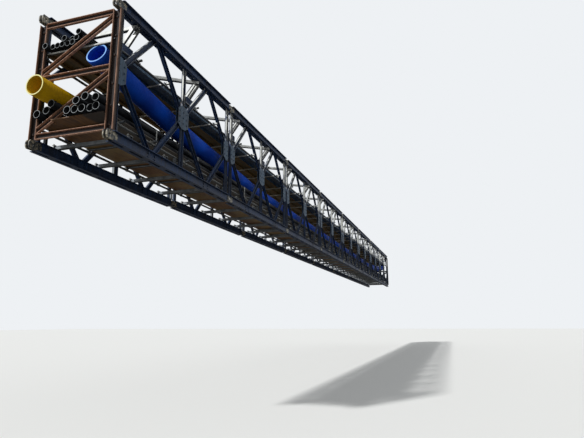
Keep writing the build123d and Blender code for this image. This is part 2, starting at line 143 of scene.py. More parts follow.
# Truss panels: eight welded lattices a side, with chords of two channels back to back, posts and
# diagonals of channel between them, bolted gusset plates at mid height, and eyes at the chords'
# ends for the pins. Painted slate grey with chalky streaks, rusty where the paint is off, and
# painted near white high up where the faces turn to the sun, as painted sunlight.
PITCH = 4.5
PANELS = 8
START = -PITCH * PANELS / 2
TRUSS_Y = 0.7825
TRUSS_TOP = 2.56
MID_Z = TRUSS_TOP / 2
CHORD_DEPTH = 0.18
CHORD_FLANGE = 0.061
CHORD_FLANGE_T = 0.012
CHORD_WEB_T = 0.008
CHORD_GAP = 0.05
CHORD_END = 0.075
CHORD_Z = (CHORD_DEPTH / 2, TRUSS_TOP - CHORD_DEPTH / 2)
POST_END_X = 0.128
POST_X = (POST_END_X, PITCH / 2, PITCH - POST_END_X)
POST_INSET = 0.02
APEX_X = (POST_X[0] + POST_X[1]) / 2
APEX_SPREAD = 0.01
MEMBER_WIDTH = 0.1
MEMBER_T = 0.007
BATTEN_FIRST, BATTEN_LAST, BATTEN_STEP = 0.5, PITCH - 0.3, 0.56
BATTEN_HALF, BATTEN_T, BATTEN_INSET = 0.09, 0.01, 0.006
APEX_PLATE, APEX_PLATE_HALF_T = (0.34, 0.12), 0.006
APEX_BOLTS, APEX_HEAD = (0.2, 0.07), (0.036, 0.016)
GUSSET_T = 0.008
GUSSET_WIDE, GUSSET_NARROW = 0.2, 0.05
GUSSET_HALF, GUSSET_STRAIGHT, GUSSET_TAPER = 0.25, 0.17, 0.35
GUSSET_HEAD = (0.03, 0.013)
GUSSET_BOLT_Z = (-0.12, 0, 0.12)
GUSSET_BOLT_X_WIDE, GUSSET_BOLT_X_NARROW = (-0.14, 0, 0.14), (-0.07, 0.07)
EYE_HEIGHT = 0.15
EYE_REACH = 0.075
EYE_TAIL = 0.2
EYE_SIDES = 32
EYE_NOSE = 0.45
PIN_HOLE = 0.025
JAW_T = 0.022
TONGUE_T = 0.04
EYE_GAP = 0.003


def gather(solids):
    """Joins (points, faces) pairs into one pair."""
    points, faces, first = [], [], 0
    for p, f in solids:
        points.append(np.asarray(p, float))
        faces.extend([tuple(first + i for i in face) for face in f])
        first += len(p)
    return np.concatenate(points), faces


def skin(rings, closed=False):
    """A grid of n rings of m points: each ring closes on itself. The ends are capped, or, when
    closed, the last ring joins the first."""
    n, m = rings.shape[:2]
    i, j = np.meshgrid(np.arange(n if closed else n - 1), np.arange(m), indexing="ij")
    next_i, next_j = (i + 1) % n, (j + 1) % m
    quads = np.stack([i * m + j, i * m + next_j, next_i * m + next_j, next_i * m + j], -1)
    quads = quads.reshape(-1, 4).tolist()
    if not closed:
        quads += [list(range(m))[::-1], list(range((n - 1) * m, n * m))]
    return rings.reshape(-1, 3), quads


def carry(profile, path, side, bore=None):
    """A profile (m by 2, anticlockwise) carried along a path (n by 3): each ring stands square to
    the path, its first axis along the side direction. A bore is a second profile of m points: the
    surface then runs out along the profile and back along the bore, so the bar is hollow."""
    path = np.asarray(path, float)
    side = np.asarray(side, float)
    along = np.gradient(path, axis=0)
    along /= np.linalg.norm(along, axis=1, keepdims=True)
    across = side - along * (along @ side)[:, None]
    across /= np.linalg.norm(across, axis=1, keepdims=True)
    up = np.cross(along, across)
    rings = [path[:, None] + p[None, :, :1] * across[:, None] + p[None, :, 1:] * up[:, None]
             for p in (np.asarray(profile, float), np.asarray(profile if bore is None else bore, float))]
    if bore is None:
        return skin(rings[0])
    return skin(np.concatenate([rings[0], rings[1][::-1]]), closed=True)


def rectangle(width, height):
    """A rectangle's corners round its centre, anticlockwise."""
    w, h = width / 2, height / 2
    return [(-w, -h), (w, -h), (w, h), (-w, h)]


def channel(width, depth, t, web_t):
    """A channel's section: flanges width apart over all, which stand up from the web at the foot."""
    w = width / 2
    return [(-w, 0), (w, 0), (w, depth), (w - t, depth), (w - t, web_t), (-w + t, web_t), (-w + t, depth),
            (-w, depth)]


def circle(radius, sides):
    """A many-sided round section, anticlockwise."""
    turn = np.linspace(0, 2 * np.pi, sides, endpoint=False) + np.pi / sides
    return np.stack([np.cos(turn), np.sin(turn)], 1) * radius


def plate(outline, y0, y1):
    """A flat plate between two Y values, from its outline in X and Z (anticlockwise seen from -Y)."""
    outline = np.asarray(outline, float)
    return skin(np.stack([np.insert(outline, 1, y, axis=1) for y in (y1, y0)]))


def eye_plate(x0, x1, z, hole_x, y0, y1):
    """A plate with a pin hole and cut corners at its end nearer the hole: a square loop, stretched
    to the plate's ends, and a hole's loop of as many points, each taken at both faces of the
    plate, joined into one closed surface."""
    hole = circle(PIN_HOLE, EYE_SIDES)
    nose = x0 if abs(hole_x - x0) < abs(hole_x - x1) else x1
    half = EYE_HEIGHT / 2
    square = hole / np.abs(hole).max(axis=1, keepdims=True)
    outer_x = hole_x + square[:, 0] * np.where(square[:, 0] > 0, x1 - hole_x, hole_x - x0)
    outer_z = square[:, 1] * half
    flat = half * EYE_NOSE
    cut = np.abs(outer_z) - flat
    corner = (np.abs(outer_x - nose) < half - flat) & (cut > 0)
    outer_x = np.where(corner, nose - np.sign(nose - hole_x) * cut * (1 - EYE_NOSE), outer_x)
    outer = np.stack([outer_x, z + outer_z], 1)
    hole = hole + (hole_x, z)
    loops = [np.insert(loop, 1, y, axis=1) for loop, y in ((outer, y0), (hole, y0), (hole, y1), (outer, y1))]
    return skin(np.stack(loops), closed=True)


def bolts(places, axis, across_flats, height):
    """Six-sided heads at places (n by 3), each standing off its surface along an axis."""
    axis = np.asarray(axis, float)
    return [carry(circle(across_flats / np.sqrt(3), 6), [place, place + axis * height], np.roll(axis, 1))
            for place in np.asarray(places, float)]


def truss_panel(outward):
    """One panel from its first pin hole at x = 0, and a mark for each of its faces: 0 for the rolled
    sections, 1 for the eyes and 2 for the gussets; outward is -1 or 1."""
    sections, eyes, gussets = [], [], []
    member = channel(MEMBER_WIDTH, CHORD_GAP, MEMBER_T, MEMBER_T)
    back = -outward * CHORD_GAP / 2
    for x in POST_X:
        ends = [(x, back, POST_INSET), (x, back, TRUSS_TOP - POST_INSET)]
        sections.append(carry(member, ends[::outward], (1, 0, 0)))
    for apex in (APEX_X, PITCH - APEX_X):
        for way in (-1, 1):
            foot = min(POST_X, key=lambda p: abs(p - apex - way * APEX_X))
            for z in CHORD_Z:
                ends = [(foot, back, MID_Z), (apex + way * APEX_SPREAD, back, z)]
                lean = outward if z > MID_Z else -outward
                sections.append(carry(member, ends[::lean], (1, 0, 0)))
    chord = channel(CHORD_DEPTH, CHORD_FLANGE, CHORD_FLANGE_T, CHORD_WEB_T)
    batten = rectangle(CHORD_GAP, BATTEN_T)
    for z in CHORD_Z:
        for way in (-1, 1):
            ends = [(x, way * CHORD_GAP / 2, z) for x in (CHORD_END, PITCH - CHORD_END)]
            sections.append(carry(chord, ends[::-way], (0, 0, 1)))
        for x in np.arange(BATTEN_FIRST, BATTEN_LAST, BATTEN_STEP):
            for edge in (-CHORD_DEPTH / 2 + BATTEN_INSET, CHORD_DEPTH / 2 - BATTEN_INSET):
                ends = [(x - BATTEN_HALF, 0, z + edge), (x + BATTEN_HALF, 0, z + edge)]
                sections.append(carry(batten, ends, (0, 1, 0)))
        for apex in (APEX_X, PITCH - APEX_X):
            outline = [(apex + a, z + b) for a, b in rectangle(*APEX_PLATE)]
            sections.append(plate(outline, -APEX_PLATE_HALF_T, APEX_PLATE_HALF_T))
            for way in (-1, 1):
                web_face = way * (CHORD_GAP / 2 + CHORD_WEB_T)
                heads = [(apex + a, web_face, z + b) for a, b in rectangle(*APEX_BOLTS)]
                sections += bolts(heads, (0, way, 0), *APEX_HEAD)
    gusset_sides = ((GUSSET_NARROW, GUSSET_WIDE), (GUSSET_WIDE, GUSSET_WIDE), (GUSSET_WIDE, GUSSET_NARROW))
    for way in (-1, 1):
        inner, outer = way * CHORD_GAP / 2, way * (CHORD_GAP / 2 + GUSSET_T)
        for x, (a, b) in zip(POST_X, gusset_sides):
            outline = [(-a * GUSSET_TAPER, -GUSSET_HALF), (b * GUSSET_TAPER, -GUSSET_HALF),
                       (b, -GUSSET_STRAIGHT), (b, GUSSET_STRAIGHT),
                       (b * GUSSET_TAPER, GUSSET_HALF), (-a * GUSSET_TAPER, GUSSET_HALF),
                       (-a, GUSSET_STRAIGHT), (-a, -GUSSET_STRAIGHT)]
            gussets.append(plate([(x + p, MID_Z + q) for p, q in outline], *sorted((inner, outer))))
            bolt_x = GUSSET_BOLT_X_WIDE if a == b else GUSSET_BOLT_X_NARROW
            heads = [(x + (b - a) / 2 + p, outer, MID_Z + q) for p in bolt_x for q in GUSSET_BOLT_Z]
            gussets += bolts(heads, (0, way, 0), *GUSSET_HEAD)
    for z in CHORD_Z:
        for y in (TONGUE_T / 2 + EYE_GAP, -TONGUE_T / 2 - EYE_GAP - JAW_T):
            eyes.append(eye_plate(-EYE_REACH, EYE_TAIL, z, 0.0, y, y + JAW_T))
        eyes.append(eye_plate(PITCH - EYE_TAIL, PITCH + EYE_REACH, z, PITCH, -TONGUE_T / 2, TONGUE_T / 2))
    groups = (sections, eyes, gussets)
    marks = np.repeat((0, 1, 2), [sum(len(faces) for _, faces in group) for group in groups])
    return gather(sections + eyes + gussets), marks


# The side that painted sunlight faces, near the lamp's, and where across a truss its outer half begins
PAINTED_SUN_SIDE = (-0.70, 0.20, 0.68)
OUTER_HALF_Y = (TRUSS_Y - 0.013, TRUSS_Y - 0.007)
DIRT = "#2e2a27"
# Near white, laid on as painted sunlight
PAINTED_SUNLIGHT = "#d2d3cc"
RUST_SPOT = "#4a3427"


def painted(name, dark, light, dirt_share):
    """Slate paint on rolled steel: matt, with chalky streaks 55 mm wide that run down it, brown dirt
    in clouds of 0.6 m, and rust spots that break up from 110 mm to a few. High on the truss, its
    outer half is painted nearly white in patches where it faces the sun: painted sunlight."""
    made, tree = new_material(name)
    where = add(tree, "ShaderNodeTexCoord")
    streaks = add(tree, "ShaderNodeMapping", {"Vector": (where, "Object"), "Scale": (6.0, 6.0, 1.2)})
    chalk = add(tree, "ShaderNodeTexNoise",
                {"Vector": (streaks, 0), "Scale": 3.0, "Detail": 6.0, "Roughness": 0.65})
    tone = add(tree, "ShaderNodeValToRGB", {"Fac": (chalk, 0)}, ((0.32, dark), (0.72, light)))
    dirt = add(tree, "ShaderNodeTexNoise", {"Vector": (where, "Object"), "Scale": 1.6, "Detail": 7.0})
    dirt_mask = add(tree, "ShaderNodeMapRange", {"Value": (dirt, 0), 1: 0.48, 2: 0.62, 4: dirt_share})
    dirty = add(tree, "ShaderNodeMix", {"Factor": (dirt_mask, 0), 6: (tone, 0), 7: linear(DIRT)},
                data_type="RGBA")
    # Painted sunlight: faces toward the sun, high up and on the truss's outer half, go near white in patches
    facing = add(tree, "ShaderNodeNewGeometry")
    sun_dot = add(tree, "ShaderNodeVectorMath", {0: (facing, "Normal"), 1: PAINTED_SUN_SIDE},
                  operation="DOT_PRODUCT")
    sun_facing_mask = add(tree, "ShaderNodeMapRange", {"Value": (sun_dot, "Value"), 1: 0.35, 2: 0.6})
    place = add(tree, "ShaderNodeSeparateXYZ", {0: (where, "Object")})
    high = add(tree, "ShaderNodeMapRange", {"Value": (place, 2), 1: 1.5, 2: 1.8, 3: 0.08, 4: 1.0})
    side = add(tree, "ShaderNodeMath", {0: (place, 1)}, operation="ABSOLUTE")
    outer = add(tree, "ShaderNodeMapRange", {"Value": (side, 0), 1: OUTER_HALF_Y[0], 2: OUTER_HALF_Y[1]})
    patches = add(tree, "ShaderNodeTexNoise",
                  {"Vector": (where, "Object"), "Scale": 4.0, "Detail": 7.0, "Roughness": 0.6})
    patch_mask = add(tree, "ShaderNodeMapRange", {"Value": (patches, 0), 1: 0.36, 2: 0.48})
    painted_sun_mask = add(tree, "ShaderNodeMath", {0: (patch_mask, 0), 1: (sun_facing_mask, 0)}, operation="MULTIPLY")
    painted_sun_mask = add(tree, "ShaderNodeMath", {0: (painted_sun_mask, 0), 1: (high, 0)}, operation="MULTIPLY")
    painted_sun_mask = add(tree, "ShaderNodeMath", {0: (painted_sun_mask, 0), 1: (outer, 0)}, operation="MULTIPLY")
    sunlight_painted = add(tree, "ShaderNodeMix", {"Factor": (painted_sun_mask, 0), 6: (dirty, 2), 7: linear(PAINTED_SUNLIGHT)},
                   data_type="RGBA")
    spots = add(tree, "ShaderNodeTexNoise",
                {"Vector": (where, "Object"), "Scale": 9.0, "Detail": 8.0, "Roughness": 0.7})
    spot_mask = add(tree, "ShaderNodeMapRange", {"Value": (spots, 0), 1: 0.60, 2: 0.68})
    rusted = add(tree, "ShaderNodeMix", {"Factor": (spot_mask, 0), 6: (sunlight_painted, 2), 7: linear(RUST_SPOT)},
                 data_type="RGBA")
    dull = add(tree, "ShaderNodeMapRange", {"Value": (chalk, 0), 3: 0.42, 4: 0.68})
    bump = add(tree, "ShaderNodeBump", {"Height": (spots, 0), "Strength": 0.25, "Distance": 0.002})
    bsdf = add(tree, "ShaderNodeBsdfPrincipled",
               {"Base Color": (rusted, 2), "Roughness": (dull, 0), "Metallic": 0.1,
                "Specular IOR Level": 0.3, "Normal": (bump, 0)})
    add(tree, "ShaderNodeOutputMaterial", {"Surface": (bsdf, "BSDF")})
    return made


# The gussets are a paler slate than the sections
steel = painted("slate_painted_steel", "#0b192e", "#26426b", 0.30)
gusset_steel = painted("slate_painted_gussets", "#24384c", "#56718a", 0.25)

# Flame-cut eye plates, rubbed bare where panels are brought together: pale scuffs over the paint,
# 60 mm and less across, with a slight metal shine
scuffed, tree = new_material("scuffed_eye_steel")
where = add(tree, "ShaderNodeTexCoord")
rub = add(tree, "ShaderNodeTexNoise",
          {"Vector": (where, "Object"), "Scale": 16.0, "Detail": 6.0, "Roughness": 0.6})
tone = add(tree, "ShaderNodeValToRGB", {"Fac": (rub, 0)}, ((0.46, "#34393c"), (0.66, "#b9b09a")))
bsdf = add(tree, "ShaderNodeBsdfPrincipled", {"Base Color": (tone, 0), "Metallic": 0.2, "Roughness": 0.55})
add(tree, "ShaderNodeOutputMaterial", {"Surface": (bsdf, "BSDF")})


def add_piece(name, shape, material, nodes=(), others=(), marks=None, smooth=False):
    """A finished piece from (points, faces), which may stand for CAD nodes. Each face's mark is 0 for
    the first material, or counts up through the others, whose faces stay flat."""
    mesh = bpy.data.meshes.new(name)
    mesh.from_pydata(np.asarray(shape[0]).tolist(), [], shape[1])
    for each in (material, *others):
        mesh.materials.append(each)
    marks = np.zeros(len(mesh.polygons), np.int32) if marks is None else np.asarray(marks, np.int32)
    mesh.polygons.foreach_set("material_index", marks)
    mesh.polygons.foreach_set("use_smooth", (marks == 0) & smooth)
    mesh.update()
    piece = bpy.data.objects.new(name, mesh)
    bpy.context.collection.objects.link(piece)
    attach(piece, "root")
    if nodes:
        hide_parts(*nodes)


for truss, outward in (("right", -1), ("left", 1)):
    (panel_points, panel_faces), panel_marks = truss_panel(outward)
    for index in range(PANELS):
        shifted = panel_points + (START + index * PITCH, outward * TRUSS_Y, 0)
        add_piece(f"{truss}_lattice_panel_{index + 1}", (shifted, panel_faces), steel,
                  [f"{truss}_truss_panel_{index + 1}"], (scuffed, gusset_steel), panel_marks)


# Panel pins: turned steel bars with chamfered ends, driven through the eyes of neighbouring panels.
# They are plated, so they stay bright among the painted steel.
PIN_RADIUS = 0.0247
PIN_END = 0.015
PIN_HALF = TONGUE_T / 2 + EYE_GAP + JAW_T + PIN_END
PIN_CHAMFER, PIN_TIP = 0.005, 0.8

# Zinc plate over turned steel: a soft metal shine, dimmed by patches of grime 70 mm and less across
plated, tree = new_material("plated_steel")
where = add(tree, "ShaderNodeTexCoord")
grime = add(tree, "ShaderNodeTexNoise", {"Vector": (where, "Object"), "Scale": 14.0, "Detail": 5.0})
tone = add(tree, "ShaderNodeValToRGB", {"Fac": (grime, 0)}, ((0.35, "#7b766c"), (0.65, "#b9b7b0")))
bsdf = add(tree, "ShaderNodeBsdfPrincipled", {"Base Color": (tone, 0), "Metallic": 0.7, "Roughness": 0.42})
add(tree, "ShaderNodeOutputMaterial", {"Surface": (bsdf, "BSDF")})


def turned_pin(x, y, z):
    """A round pin across a truss: rings along Y whose radius drops at both ends for the chamfers."""
    stations = [(-PIN_HALF, PIN_TIP), (-PIN_HALF + PIN_CHAMFER, 1.0),
                (PIN_HALF - PIN_CHAMFER, 1.0), (PIN_HALF, PIN_TIP)]
    ring = circle(PIN_RADIUS, 16)
    rings = [np.insert(ring * size, 1, s, axis=1) + (x, y, z) for s, size in stations]
    return skin(np.stack(rings)[::-1])


pins = [turned_pin(START + joint * PITCH, y, z) for y in (-TRUSS_Y, TRUSS_Y) for joint in range(1, PANELS)
        for z in CHORD_Z]
add_piece("turned_panel_pins", gather(pins), plated, ["panel_pins"])


# End frames: rolled channel welded into a frame at each end, hollow side outwards, and bolted to the
# panels' end posts. The solids have its shape, so only its finish and its bolts are added.
FRAME_INSET, FRAME_WEB_T = 0.078, 0.007
FRAME_WEB_X = -START - FRAME_INSET + FRAME_WEB_T
FRAME_HOLLOW_X = (17.955, 17.995)
FRAME_BOLT_DY = (-0.035, 0.035)
FRAME_BOLT_Z = (0.30, 0.62, 1.02, 1.54, 1.90, 2.26)
FRAME_HEAD = (0.036, 0.018)
# The painted shade in the channels' hollows
HOLLOW_SHADE = "#1e1311"

# Bare rolled steel, rusted all over: matt, red-brown with paler runs 45 mm wide, and painted shade
# nearly black in the hollows, except on faces that look down. Its grit of 8 mm is coarser than real
# rust's, which wouldn't show.
rust, tree = new_material("rusted_channel")
where = add(tree, "ShaderNodeTexCoord")
runs_map = add(tree, "ShaderNodeMapping", {"Vector": (where, "Object"), "Scale": (9.0, 9.0, 2.0)})
runs = add(tree, "ShaderNodeTexNoise",
           {"Vector": (runs_map, 0), "Scale": 2.5, "Detail": 8.0, "Roughness": 0.7})
tone = add(tree, "ShaderNodeValToRGB", {"Fac": (runs, 0)}, ((0.3, "#64412f"), (0.7, "#d6a88d")))
# Painted shade: the channels' hollows go nearly black, but not faces that look down
place = add(tree, "ShaderNodeSeparateXYZ", {0: (where, "Object")})
depth = add(tree, "ShaderNodeMath", {0: (place, 0)}, operation="ABSOLUTE")
hollow = add(tree, "ShaderNodeMapRange",
             {"Value": (depth, 0), 1: FRAME_HOLLOW_X[0], 2: FRAME_HOLLOW_X[1], 3: 1.0, 4: 0.0})
facing = add(tree, "ShaderNodeNewGeometry")
facing_parts = add(tree, "ShaderNodeSeparateXYZ", {0: (facing, "Normal")})
faces_not_down = add(tree, "ShaderNodeMapRange", {"Value": (facing_parts, 2), 1: -0.6, 2: -0.3})
painted_shade = add(tree, "ShaderNodeMath", {0: (hollow, 0), 1: (faces_not_down, 0)}, operation="MULTIPLY")
tone = add(tree, "ShaderNodeMix", {"Factor": (painted_shade, 0), 6: (tone, 0), 7: linear(HOLLOW_SHADE)},
           data_type="RGBA")
grit = add(tree, "ShaderNodeTexNoise", {"Vector": (where, "Object"), "Scale": 120.0, "Detail": 4.0})
bump = add(tree, "ShaderNodeBump", {"Height": (grit, 0), "Strength": 0.4, "Distance": 0.002})
bsdf = add(tree, "ShaderNodeBsdfPrincipled", {"Base Color": (tone, 2), "Roughness": 0.8, "Normal": (bump, 0)})
add(tree, "ShaderNodeOutputMaterial", {"Surface": (bsdf, "BSDF")})


def dress(material, *names):
    """Gives CAD nodes whose shape is right a material in place of their own."""
    for name in names:
        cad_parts[name].data.materials.clear()
        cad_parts[name].data.materials.append(material)


dress(rust, "near_end_frame", "far_end_frame")
frame_bolts = []
for end in (-1, 1):
    heads = [(end * FRAME_WEB_X, side * TRUSS_Y + dy, z)
             for side in (-1, 1) for dy in FRAME_BOLT_DY for z in FRAME_BOLT_Z]
    frame_bolts += bolts(heads, (end, 0, 0), *FRAME_HEAD)
add_piece("end_frame_bolts", gather(frame_bolts), rust)


# Cross bracing: galvanised square hollow struts clamped across the bottom chords, beams of the same
# section under the top ones, all but the first at a slant, and pairs of small channels that rake
# down from the beams to hollow blocks on the upper deck.
BRACE = 0.076
BRACE_WALL = 0.006
BRACE_CORNER = 0.012
BRACE_OVERHANG = 0.04
BRACE_HALF = TRUSS_Y + BRACE_OVERHANG
SKEW = 1.16
LOWER_STRUT_Z = CHORD_DEPTH + BRACE / 2
TOP_BEAM_Z = TRUSS_TOP - CHORD_DEPTH - BRACE / 2
CLAMP_Y = TRUSS_Y + 0.005
SADDLE, SADDLE_HALF = (0.13, 0.01), 0.03
CLAMP_ROD_R, CLAMP_ROD_DX, CLAMP_ROD_TOP = 0.009, 0.052, 0.03
CLAMP_NUT = (0.028, 0.014)
RAKER_WIDTH, RAKER_DEPTH, RAKER_T, RAKER_GAP = 0.066, 0.046, 0.006, 0.001
RAKER_FOOT, RAKER_HEAD = (-0.386, 1.820), (-0.850, 2.380)
RAKER_TOP_Z = 2.335
RAKER_MAX_Y = TRUSS_Y - 0.004
UPPER_DECK_TOP = 1.85015
FOOT_BLOCK = (0.15, 0.14)
FOOT_BLOCK_HALF, FOOT_BLOCK_WALL, FOOT_BLOCK_DY = 0.15, 0.006, 0.03
FOOT_SINK = 0.01


def zinc_coat(name, dark, light, shade_colour):
    """Dip-galvanised steel: a half dull, half bright grey in clouds of 200 mm, with the faint relief
    of its run-off, and a painted shade colour on the faces turned away from the sun."""
    made, tree = new_material(name)
    where = add(tree, "ShaderNodeTexCoord")
    cloud = add(tree, "ShaderNodeTexNoise",
                {"Vector": (where, "Object"), "Scale": 5.0, "Detail": 7.0, "Roughness": 0.65})
    tone = add(tree, "ShaderNodeValToRGB", {"Fac": (cloud, 0)}, ((0.3, dark), (0.7, light)))
    # Painted shade: faces turned away from the sun take the shade colour
    facing = add(tree, "ShaderNodeNewGeometry")
    sun_dot = add(tree, "ShaderNodeVectorMath", {0: (facing, "Normal"), 1: PAINTED_SUN_SIDE},
                  operation="DOT_PRODUCT")
    sun_side_mask = add(tree, "ShaderNodeMapRange", {"Value": (sun_dot, "Value"), 1: -0.15, 2: 0.3})
    tone = add(tree, "ShaderNodeMix", {"Factor": (sun_side_mask, 0), 6: linear(shade_colour), 7: (tone, 0)},
               data_type="RGBA")
    bump = add(tree, "ShaderNodeBump", {"Height": (cloud, 0), "Strength": 0.2, "Distance": 0.002})
    bsdf = add(tree, "ShaderNodeBsdfPrincipled",
               {"Base Color": (tone, 2), "Metallic": 0.25, "Roughness": 0.5, "Normal": (bump, 0)})
    add(tree, "ShaderNodeOutputMaterial", {"Surface": (bsdf, "BSDF")})
    return made


# Newer zinc is near white in the sun, older zinc stays a mid grey; each last colour is painted shade
zinc = zinc_coat("galvanised_steel", "#8f918d", "#e2e3df", "#3b3d3e")
dull_zinc = zinc_coat("dull_galvanised_steel", "#5a6066", "#9aa0a4", "#25282b")


def rounded_square(side, radius):
    """A square section with its corners cut twice, anticlockwise: one corner, turned four times."""
    h, c = side / 2, side / 2 - radius
    d = c + radius * np.sqrt(0.5)
    corner = np.array([(h, c), (d, d), (c, h)])
    turns = [np.array(((np.cos(a), np.sin(a)), (-np.sin(a), np.cos(a)))) for a in np.arange(4) * np.pi / 2]
    return np.concatenate([corner @ turn for turn in turns])


def square_tube(start, end):
    """A straight square hollow section."""
    bore = rounded_square(BRACE - 2 * BRACE_WALL, BRACE_CORNER - BRACE_WALL)
    return carry(rounded_square(BRACE, BRACE_CORNER), [start, end], (0, 0, 1), bore)


def clamp(x, y, z_top, drop):
    """A saddle plate over a strut, with a threaded rod down each side of it."""
    ends = [(x, y + dy, z_top + SADDLE[1] / 2) for dy in (-SADDLE_HALF, SADDLE_HALF)]
    solids = [carry(rectangle(*SADDLE), ends, (1, 0, 0))]
    for rod_x in (x - CLAMP_ROD_DX, x + CLAMP_ROD_DX):
        ends = [(rod_x, y, z_top - drop), (rod_x, y, z_top + CLAMP_ROD_TOP)]
        solids.append(carry(circle(CLAMP_ROD_R, 6), ends, (1, 0, 0)))
        solids += bolts([(rod_x, y, z_top + SADDLE[1])], (0, 0, 1), *CLAMP_NUT)
    return solids


strut_x = [START + PITCH / 8 + i * PITCH / 4 for i in range(4 * PANELS)]
bottom_struts = [square_tube((x, -BRACE_HALF, LOWER_STRUT_Z), (x, BRACE_HALF, LOWER_STRUT_Z))
                 for x in strut_x]
add_piece("square_bottom_struts", gather(bottom_struts), dull_zinc, ["bottom_cross_struts"])
top_beams = []
for x in strut_x[::2]:
    left_x = x - SKEW if x > START + PITCH / 4 else x
    top_beams.append(square_tube((x, -BRACE_HALF, TOP_BEAM_Z), (left_x, BRACE_HALF, TOP_BEAM_Z)))
add_piece("square_top_beams", gather(top_beams), zinc, ["top_cross_beams"])
clamps = []
for x in strut_x:
    for y in (-CLAMP_Y, CLAMP_Y):
        clamps += clamp(x, y, CHORD_DEPTH + BRACE, BRACE)
add_piece("strut_clamps", gather(clamps), zinc)

rakers, blocks = [], []
raker_section = channel(RAKER_WIDTH, RAKER_DEPTH, RAKER_T, RAKER_T)
raker_slope = (RAKER_HEAD[0] - RAKER_FOOT[0]) / (RAKER_HEAD[1] - RAKER_FOOT[1])
block_bore = rectangle(*(size - 2 * FOOT_BLOCK_WALL for size in FOOT_BLOCK))
for x in strut_x[::2]:
    ends = []
    for z in (UPPER_DECK_TOP + FOOT_BLOCK[1] - FOOT_SINK, RAKER_TOP_Z):
        y = RAKER_FOOT[0] + (z - RAKER_FOOT[1]) * raker_slope
        ends.append((x, max(y, -RAKER_MAX_Y), z))
    across = np.cross(np.subtract(ends[1], ends[0]), (1, 0, 0))
    for shift in (-BRACE / 2 - RAKER_GAP - RAKER_DEPTH, BRACE / 2 + RAKER_GAP):
        rakers.append(carry(raker_section, [np.add(end, (shift, 0, 0)) for end in ends[::-1]], across))
    middle = np.add(ends[0], (0, -FOOT_BLOCK_DY, FOOT_SINK - FOOT_BLOCK[1] / 2))
    block_ends = [middle - (FOOT_BLOCK_HALF, 0, 0), middle + (FOOT_BLOCK_HALF, 0, 0)]
    blocks.append(carry(rectangle(*FOOT_BLOCK), block_ends, (0, 1, 0), block_bore))
add_piece("raking_channel_struts", gather(rakers), zinc, ["raking_struts"])
add_piece("raking_strut_feet", gather(blocks), steel)


# Scaffold tubes: galvanised 48.3 mm tube, drawn hollow so that its open ends show their walls, as
# ledgers along the trusses and short tubes across them, which carry the decks. Forged couplers
# hold the crossings.
TUBE_R = 0.02415
TUBE_WALL = 0.004
TUBE_BORE = TUBE_R - TUBE_WALL
TUBE_OVERHANG = 0.04
TUBE_HALF = TRUSS_Y + TUBE_OVERHANG
LEDGER_INSET = 0.082
LEDGER_HALF = -START - LEDGER_INSET
UPRIGHT_HEIGHT = 0.186
LOWER_LEDGER_Y = 0.716
LOWER_LEDGER_Z = CHORD_DEPTH + UPRIGHT_HEIGHT + TUBE_R
LOWER_TUBE_Z = LOWER_LEDGER_Z + 2 * TUBE_R
LOWER_TUBE_X = (0.35, 1.33, 2.54, 3.78)
UPPER_TUBE_Z = 1.77
UPPER_TUBE_X = (0.72, 1.65, 2.85, 3.78)
UPPER_LEDGER_Y = TRUSS_Y - CHORD_GAP / 2 - TUBE_R
UPPER_LEDGER_Z = UPPER_TUBE_Z - 2 * TUBE_R
END_TUBE_X, END_TUBE_Z, END_TUBE_HALF = 17.895, 1.824, 0.745
HANGER_R = 0.017
BAND_R, BAND_HALF = TUBE_R + 0.008, 0.026
COUPLER_BOLT, COUPLER_BOLT_DZ = (0.022, 0.03), 0.012


def round_tube(start, end, sides=12):
    """A straight open tube."""
    side = (1, 0, 0) if abs(start[0] - end[0]) < abs(start[1] - end[1]) else (0, 0, 1)
    return carry(circle(TUBE_R, sides), [start, end], side, circle(TUBE_BORE, sides))


def coupler(x, y, along_z, across_z):
    """A right-angle coupler: a band round each tube where they cross, with a bolt beside each."""
    band = circle(BAND_R, 8)
    solids = [carry(band, [(x - BAND_HALF, y, along_z), (x + BAND_HALF, y, along_z)], (0, 0, 1)),
              carry(band, [(x, y - BAND_HALF, across_z), (x, y + BAND_HALF, across_z)], (0, 0, 1))]
    solids += bolts([(x, y - BAND_R, along_z - COUPLER_BOLT_DZ)], (0, -1, 0), *COUPLER_BOLT)
    solids += bolts([(x - BAND_R, y, across_z + COUPLER_BOLT_DZ)], (-1, 0, 0), *COUPLER_BOLT)
    return solids


tube_sets = (("lower", LOWER_LEDGER_Y, LOWER_LEDGER_Z, LOWER_TUBE_Z, LOWER_TUBE_X, zinc, dull_zinc),
             ("upper", UPPER_LEDGER_Y, UPPER_LEDGER_Z, UPPER_TUBE_Z, UPPER_TUBE_X, dull_zinc, zinc))
for height, y, z, tube_z, spacing, ledger_coat, tube_coat in tube_sets:
    tube_x = [START + i * PITCH + a for i in range(PANELS) for a in spacing]
    couplers = []
    shapes = [round_tube((-LEDGER_HALF, s * y, z), (LEDGER_HALF, s * y, z)) for s in (-1, 1)]
    add_piece(f"round_{height}_ledgers", gather(shapes), ledger_coat,
              [f"{height}_ledger_tubes"])
    shapes = [round_tube((x, -TUBE_HALF, tube_z), (x, TUBE_HALF, tube_z)) for x in tube_x]
    if height == "upper":
        for x in (-END_TUBE_X, END_TUBE_X):
            shapes.append(round_tube((x, -END_TUBE_HALF, END_TUBE_Z), (x, END_TUBE_HALF, END_TUBE_Z)))
            for s in (-1, 1):
                shapes.append(carry(circle(HANGER_R, 8), [(x, s * y, z), (x, s * y, END_TUBE_Z)], (1, 0, 0)))
                couplers += coupler(x, s * y, z, END_TUBE_Z)
    add_piece(f"round_{height}_cross_tubes", gather(shapes), tube_coat,
              [f"{height}_cross_tubes"])
    for x in tube_x:
        for s in (-1, 1):
            couplers += coupler(x, s * y, z, tube_z)
    add_piece(f"{height}_tube_couplers", gather(couplers), ledger_coat)

# The uprights under the lower ledgers are box section, each on a foot plate
dress(dull_zinc, "deck_uprights")

